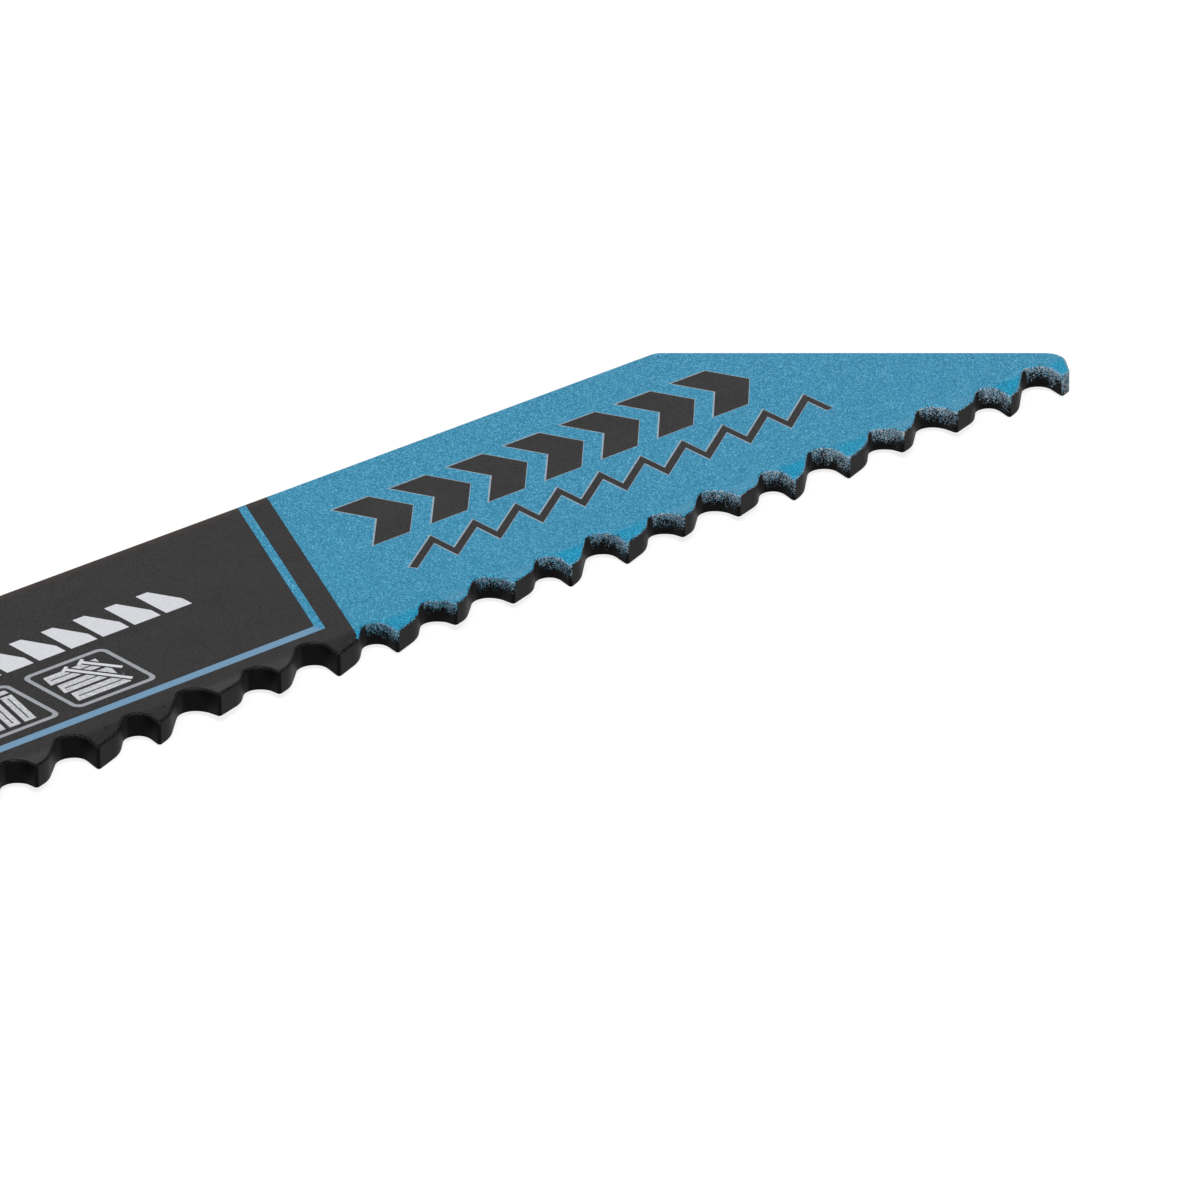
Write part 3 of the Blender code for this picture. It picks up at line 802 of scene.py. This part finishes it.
def build_mesh():
    mesh = BladeMesh()
    outer_top, outer_bottom = add_wall(mesh, blade_loop())
    hole_top, hole_bottom = add_wall(mesh, hole_loop())
    add_cap(mesh, outer_top, hole_top, TOP_SIDE, printed_shapes())
    add_cap(mesh, outer_bottom, hole_bottom, UNDERSIDE, [])
    data = bpy.data.meshes.new("blade_finish")
    data.from_pydata([place * MM for place in mesh.places], [], mesh.faces)
    data.polygons.foreach_set("material_index", mesh.paints)
    data.polygons.foreach_set("use_smooth", [True] * len(mesh.faces))
    depth = data.attributes.new("depth", "FLOAT", "POINT")
    depth.data.foreach_set("value", mesh.depths)
    data.validate()
    data.normals_split_custom_set_from_vertices(mesh.normals)
    data.update()
    return data


# Shader nodes


def new_material(name):
    material = bpy.data.materials.new(name)
    material.use_nodes = True
    tree = material.node_tree
    return material, tree, tree.nodes["Principled BSDF"]


def add_node(tree, kind, **values):
    node = tree.nodes.new(kind)
    for key, value in values.items():
        setattr(node, key, value)
    return node


def feed(tree, socket, value):
    """Links a socket to another node's output, or sets a number or a colour on it."""
    if isinstance(value, bpy.types.NodeSocket):
        tree.links.new(value, socket)
    elif isinstance(value, tuple):
        socket.default_value = (*value, 1.0)
    else:
        socket.default_value = value


def noise(tree, scale, detail=2.0, roughness=0.5, stretch=(1.0, 1.0, 1.0)):
    """Noise in object space. The scale is in cells for each millimetre."""
    coordinates = add_node(tree, "ShaderNodeTexCoord")
    mapping = add_node(tree, "ShaderNodeMapping")
    mapping.inputs["Scale"].default_value = [scale / MM * share for share in stretch]
    texture = add_node(tree, "ShaderNodeTexNoise")
    texture.inputs["Scale"].default_value = 1.0
    texture.inputs["Detail"].default_value = detail
    texture.inputs["Roughness"].default_value = roughness
    tree.links.new(coordinates.outputs["Object"], mapping.inputs["Vector"])
    tree.links.new(mapping.outputs["Vector"], texture.inputs["Vector"])
    return texture.outputs["Fac"]


def remap(tree, value, low, high, to_low=0.0, to_high=1.0, smooth=False):
    node = add_node(tree, "ShaderNodeMapRange")
    if smooth:
        node.interpolation_type = "SMOOTHSTEP"
    feed(tree, node.inputs["Value"], value)
    feed(tree, node.inputs["From Min"], low)
    feed(tree, node.inputs["From Max"], high)
    feed(tree, node.inputs["To Min"], to_low)
    feed(tree, node.inputs["To Max"], to_high)
    return node.outputs["Result"]


def math_node(tree, operation, first, second):
    node = add_node(tree, "ShaderNodeMath", operation=operation)
    feed(tree, node.inputs[0], first)
    feed(tree, node.inputs[1], second)
    return node.outputs["Value"]


def blend(tree, factor, first, second):
    """Colour between the first and the second."""
    node = add_node(tree, "ShaderNodeMix", data_type="RGBA")
    inputs = {socket.identifier: socket for socket in node.inputs}
    feed(tree, inputs["Factor_Float"], factor)
    feed(tree, inputs["A_Color"], first)
    feed(tree, inputs["B_Color"], second)
    return next(socket for socket in node.outputs if socket.identifier == "Result_Color")


def place_along(tree, axis):
    """Where a point lies along an axis of the blade, in millimetres."""
    coordinates = add_node(tree, "ShaderNodeTexCoord")
    parts = add_node(tree, "ShaderNodeSeparateXYZ")
    tree.links.new(coordinates.outputs["Object"], parts.inputs["Vector"])
    return math_node(tree, "DIVIDE", parts.outputs[axis], MM)


def facing(tree, direction):
    """How squarely a surface faces a direction."""
    geometry = add_node(tree, "ShaderNodeNewGeometry")
    dot = add_node(tree, "ShaderNodeVectorMath", operation="DOT_PRODUCT")
    dot.inputs[1].default_value = Vector(direction).normalized()
    tree.links.new(geometry.outputs["Normal"], dot.inputs[0])
    return dot.outputs["Value"]


def finish_surface(tree, shader, color, roughness, gloss, relief, height, strength):
    """Gives a shader its colour, its gloss and a fine relief, whose height is in millimetres."""
    feed(tree, shader.inputs["Base Color"], color)
    feed(tree, shader.inputs["Roughness"], roughness)
    feed(tree, shader.inputs["Specular IOR Level"], gloss)
    bump = add_node(tree, "ShaderNodeBump")
    bump.inputs["Distance"].default_value = height * MM
    bump.inputs["Strength"].default_value = strength
    tree.links.new(relief, bump.inputs["Height"])
    tree.links.new(bump.outputs["Normal"], shader.inputs["Normal"])


# Materials


def highlit_worn_rim(name, color, highlit_worn_color, wear_and_highlight):
    """Upper rim, where handling has rubbed the finish paler, with a painted highlight along it."""
    material, tree, shader = new_material(name)
    patches = noise(tree, scale=3.0, detail=3.0, roughness=0.7)
    # mask for rubbed wear together with the painted rim highlight
    wear_and_highlight_mask = remap(
        tree, patches, low=0.32, high=0.68,
        to_low=wear_and_highlight - WEAR_AND_HIGHLIGHT_SPREAD, to_high=wear_and_highlight + WEAR_AND_HIGHLIGHT_SPREAD, smooth=True,
    )
    highlit_worn_rim_color = blend(tree, wear_and_highlight_mask, color, highlit_worn_color)
    finish_surface(
        tree, shader, highlit_worn_rim_color, roughness=0.5, gloss=0.3, relief=wear_and_highlight_mask, height=0.004, strength=0.6
    )
    return material


def coat_material(name, gloss):
    """Dark coat, softly mottled, with a fine dark grain and a browner, lighter strip by the back
    edge that is a painted highlight.
    """
    material, tree, shader = new_material(name)
    clouds = noise(tree, scale=0.35, detail=4.0, roughness=0.6)
    mottle = remap(tree, clouds, low=0.35, high=0.65)
    grain = remap(tree, noise(tree, FINE_GRAIN, detail=0.0), low=0.40, high=0.60, smooth=True)
    grainy = blend(tree, grain, blend(tree, mottle, COAT_COLOR, COAT_WARM), COAT_DARK)
    # painted highlight along the back edge
    highlight_by_edge = remap(tree, place_along(tree, "Y"), BACK_Y - EDGE_HIGHLIGHT_REACH, BACK_Y, smooth=True)
    color = blend(tree, highlight_by_edge, grainy, COAT_EDGE_HIGHLIGHT)
    roughness = remap(tree, mottle, low=0.0, high=1.0, to_low=0.36, to_high=0.44)
    finish_surface(
        tree, shader, color, roughness, gloss, relief=grain, height=0.006, strength=0.7
    )
    return material


def bare_wall(tree):
    """Colour of cut steel: near black with painted shade, and lighter where it faces out and a
    little to the nose, a painted highlight.
    """
    # painted highlight on walls facing one side, over a base darkened with painted shade
    painted_light = remap(tree, facing(tree, PAINTED_LIGHT_SIDE), low=0.86, high=0.99, smooth=True)
    return blend(tree, painted_light, WALL_COLOR_AND_SHADE, WALL_PAINTED_LIGHT)


def wall_material():
    """Bare cut edge outside the blue field."""
    material, tree, shader = new_material("cut_edge")
    streaks = noise(tree, scale=4.0, detail=3.0, roughness=0.6, stretch=(1.0, 1.0, 0.3))
    finish_surface(
        tree, shader, bare_wall(tree), CUT_ROUGHNESS, CUT_GLOSS,
        relief=streaks, height=0.004, strength=0.6,
    )
    return material


def blue_color(tree):
    """Grainy blue spray with pale specks, and the fine grain alone."""
    fine = remap(tree, noise(tree, FINE_GRAIN, detail=0.0), low=0.41, high=0.59, smooth=True)
    clouds = noise(tree, scale=0.6, detail=3.0, roughness=0.6)
    broad = remap(tree, clouds, low=0.3, high=0.7, to_low=-0.05, to_high=0.05)
    # Bent-down teeth take a bluer paint that stands in for the sheen they reflect less of: painted
    # reflection
    painted_sheen_loss = remap(tree, facing(tree, OUTWARDS), low=0.01, high=0.12)
    pale = blend(tree, painted_sheen_loss, BLUE_PALE, SHEENLESS_PALE)
    speck = blend(tree, painted_sheen_loss, BLUE_SPECK, SHEENLESS_SPECK)
    paint = blend(tree, math_node(tree, "ADD", fine, broad), BLUE_DEEP, pale)
    specks = remap(tree, noise(tree, SPECK_GRAIN, detail=0.0), low=0.57, high=0.65, smooth=True)
    return blend(tree, specks, paint, speck), fine


def blue_material():
    material, tree, shader = new_material("blue_paint")
    color, fine = blue_color(tree)
    roughness = remap(tree, fine, low=0.0, high=1.0, to_low=0.29, to_high=0.38)
    finish_surface(
        tree, shader, color, roughness, gloss=0.22, relief=fine, height=0.010, strength=0.7
    )
    return material


def spray_reach(tree):
    """How far the paint reaches down a wall, in millimetres. It covers the whole nose."""
    x = place_along(tree, "X")
    towards = facing(tree, SPRAY_SIDE)
    least, most = SPRAY_REACH
    reach = remap(tree, towards, low=0.42, high=0.72, to_low=least, to_high=most, smooth=True)
    thinner = remap(tree, x, MIST_THIN_X, MIST_FULL_X, to_low=MIST_THIN)
    on_nose = remap(tree, x, *NOSE_SPRAY_X, to_high=NOSE_SPRAY_REACH, smooth=True)
    return math_node(tree, "MAXIMUM", math_node(tree, "MULTIPLY", reach, thinner), on_nose)


def mist_paleness(tree, depth):
    """How pale the misted paint is: dotted, fading at the rim and towards the tang."""
    misted = remap(tree, depth, 0.0, MIST_START, to_low=0.1, smooth=True)
    spots = noise(tree, scale=10.0, detail=1.0)
    dots = remap(tree, spots, low=0.44, high=0.60, to_low=0.15, smooth=True)
    dimmer = remap(tree, place_along(tree, "X"), MIST_THIN_X, MIST_FULL_X, to_low=MIST_DIM)
    return math_node(tree, "MULTIPLY", math_node(tree, "MULTIPLY", misted, dots), dimmer)


def sprayed_material():
    """Cut edge in the blue field, misted with paint from above."""
    material, tree, shader = new_material("sprayed_edge")
    depth = add_node(tree, "ShaderNodeAttribute", attribute_name="depth").outputs["Fac"]
    share = math_node(tree, "DIVIDE", depth, spray_reach(tree))
    speckle = remap(tree, noise(tree, scale=12.0, roughness=0.6), low=0.34, high=0.66)
    cloud = remap(tree, noise(tree, scale=1.6), low=0.35, high=0.65, to_low=-0.2, to_high=0.2)
    over = math_node(tree, "SUBTRACT", math_node(tree, "ADD", speckle, cloud), share)
    covered = remap(tree, over, low=-0.2, high=0.25, smooth=True)
    paint, _ = blue_color(tree)
    misted = blend(tree, mist_paleness(tree, depth), paint, MIST_COLOR)
    color = blend(tree, covered, bare_wall(tree), misted)
    finish_surface(
        tree, shader, color, CUT_ROUGHNESS, CUT_GLOSS, relief=covered, height=0.008, strength=0.7
    )
    return material


def plain_print(name, color, spread):
    """Flat screen print in one colour, which the grain dims by the spread."""
    material, tree, shader = new_material(name)
    grain = remap(tree, noise(tree, PRINT_GRAIN, roughness=0.6), low=0.35, high=0.65)
    dim = tuple(channel * (1 - spread) for channel in color)
    finish_surface(
        tree, shader, blend(tree, grain, dim, color), roughness=0.55, gloss=0.3,
        relief=grain, height=0.004, strength=0.4,
    )
    return material


def line_material():
    """Blue of the thin line, which pales away from the stripe."""
    material, tree, shader = new_material("line_paint")
    paint, _ = blue_color(tree)
    by_stripe = remap(tree, place_along(tree, "X"), LINE_PALE_X, LINE_BLUE_X, smooth=True)
    color = blend(tree, by_stripe, LINE_COLOR, paint)
    grain = noise(tree, PRINT_GRAIN, roughness=0.6)
    finish_surface(
        tree, shader, color, roughness=0.5, gloss=0.25, relief=grain, height=0.004, strength=0.4
    )
    return material


def paint_materials():
    return {
        COAT: coat_material("dark_coat", COAT_GLOSS),
        BLUE: blue_material(),
        WHITE: plain_print("white_print", WHITE_COLOR, spread=0.1),
        THIN_WHITE: plain_print("thin_print", THIN_COLOR, spread=0.15),
        # the halo paints in the highlight on the ink's edges
        HALO_HIGHLIGHT: plain_print("painted_halo_highlight", HALO_HIGHLIGHT_COLOR, spread=0.3),
        SPRAYED: sprayed_material(),
        WALL: wall_material(),
        HIGHLIT_WORN_COAT: highlit_worn_rim("highlit_worn_coat", COAT_EDGE_HIGHLIGHT, COAT_WORN_AND_HIGHLIT, wear_and_highlight=0.55),
        HIGHLIT_WORN_BLUE: highlit_worn_rim("highlit_worn_paint", BLUE_DEEP, BLUE_WORN_AND_HIGHLIT, wear_and_highlight=0.75),
        LINE_BLUE: line_material(),
        TOOTH_RIM: coat_material("tooth_rim", TOOTH_RIM_GLOSS),
        PICTURE: plain_print("picture_print", PICTURE_COLOR, spread=0.35),
    }


# Scene


def add_object(name, data):
    holder = bpy.data.objects.new(name, data)
    bpy.context.scene.collection.objects.link(holder)
    return holder


def floor_material():
    """Dull grey that also glows where it is seen, straight or in the blade's gloss."""
    material, tree, shader = new_material("floor_white")
    tree.nodes.remove(shader)
    diffuse = add_node(tree, "ShaderNodeBsdfDiffuse")
    feed(tree, diffuse.inputs["Color"], FLOOR_COLOR)
    glow = add_node(tree, "ShaderNodeEmission")
    feed(tree, glow.inputs["Color"], LIGHT_COLOR)
    rays = add_node(tree, "ShaderNodeLightPath").outputs
    seen = math_node(tree, "MAXIMUM", rays["Is Camera Ray"], rays["Is Glossy Ray"])
    seen = math_node(tree, "MAXIMUM", seen, rays["Is Transmission Ray"])
    feed(tree, glow.inputs["Strength"], math_node(tree, "MULTIPLY", seen, FLOOR_GLOW))
    both = add_node(tree, "ShaderNodeAddShader")
    tree.links.new(diffuse.outputs["BSDF"], both.inputs[0])
    tree.links.new(glow.outputs["Emission"], both.inputs[1])
    output = next(node for node in tree.nodes if node.type == "OUTPUT_MATERIAL")
    tree.links.new(both.outputs["Shader"], output.inputs["Surface"])
    return material


def add_floor():
    data = bpy.data.meshes.new("floor")
    sides = ((-1, -1), (1, -1), (1, 1), (-1, 1))
    corners = [(x * FLOOR_REACH, y * FLOOR_REACH, 0.0) for x, y in sides]
    data.from_pydata(corners, [], [(0, 1, 2, 3)])
    data.materials.append(floor_material())
    add_object("floor", data)


def add_lamp(lamp):
    data = bpy.data.lights.new(lamp.name, "AREA")
    data.shape = "RECTANGLE"
    data.size, data.size_y = lamp.size
    data.energy = lamp.power
    holder = add_object(lamp.name, data)
    holder.location = lamp.place
    towards = Vector(LIGHT_AIM) - Vector(lamp.place)
    holder.rotation_euler = towards.to_track_quat("-Z", "Y").to_euler()


def add_light():
    world = bpy.data.worlds.new("studio")
    bpy.context.scene.world = world
    world.use_nodes = True
    background = world.node_tree.nodes["Background"]
    feed(world.node_tree, background.inputs["Color"], LIGHT_COLOR)
    feed(world.node_tree, background.inputs["Strength"], WORLD_LIGHT)
    for lamp in LAMPS:
        add_lamp(lamp)


def add_camera():
    forward = Vector((
        math.sin(AZIMUTH) * math.cos(ELEVATION),
        math.cos(AZIMUTH) * math.cos(ELEVATION),
        -math.sin(ELEVATION),
    ))
    data = bpy.data.cameras.new("camera")
    data.sensor_fit = "HORIZONTAL"
    data.sensor_width = SENSOR
    data.lens = FOCAL_LENGTH
    data.clip_start = CLIP_START * MM
    data.clip_end = CLIP_END * MM
    camera = add_object("camera", data)
    camera.location = (TARGET - forward * DISTANCE) * MM
    camera.rotation_mode = "QUATERNION"
    camera.rotation_quaternion = Quaternion(forward, ROLL) @ forward.to_track_quat("-Z", "Y")
    bpy.context.scene.camera = camera


def add_blade():
    data = build_mesh()
    materials = paint_materials()
    for paint in sorted(materials):
        data.materials.append(materials[paint])
    blade = add_object("blade_finish", data)
    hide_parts("blade")
    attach(blade, "root")


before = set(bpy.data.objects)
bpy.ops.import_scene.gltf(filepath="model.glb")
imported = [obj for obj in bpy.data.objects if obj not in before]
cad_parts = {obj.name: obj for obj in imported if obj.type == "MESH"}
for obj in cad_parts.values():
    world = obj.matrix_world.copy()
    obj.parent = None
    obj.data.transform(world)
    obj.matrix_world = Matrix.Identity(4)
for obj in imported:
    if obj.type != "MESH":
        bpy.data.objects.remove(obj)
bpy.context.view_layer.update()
bpy.context.scene.view_settings.view_transform = "Standard"
add_floor()
add_light()
add_camera()
add_blade()
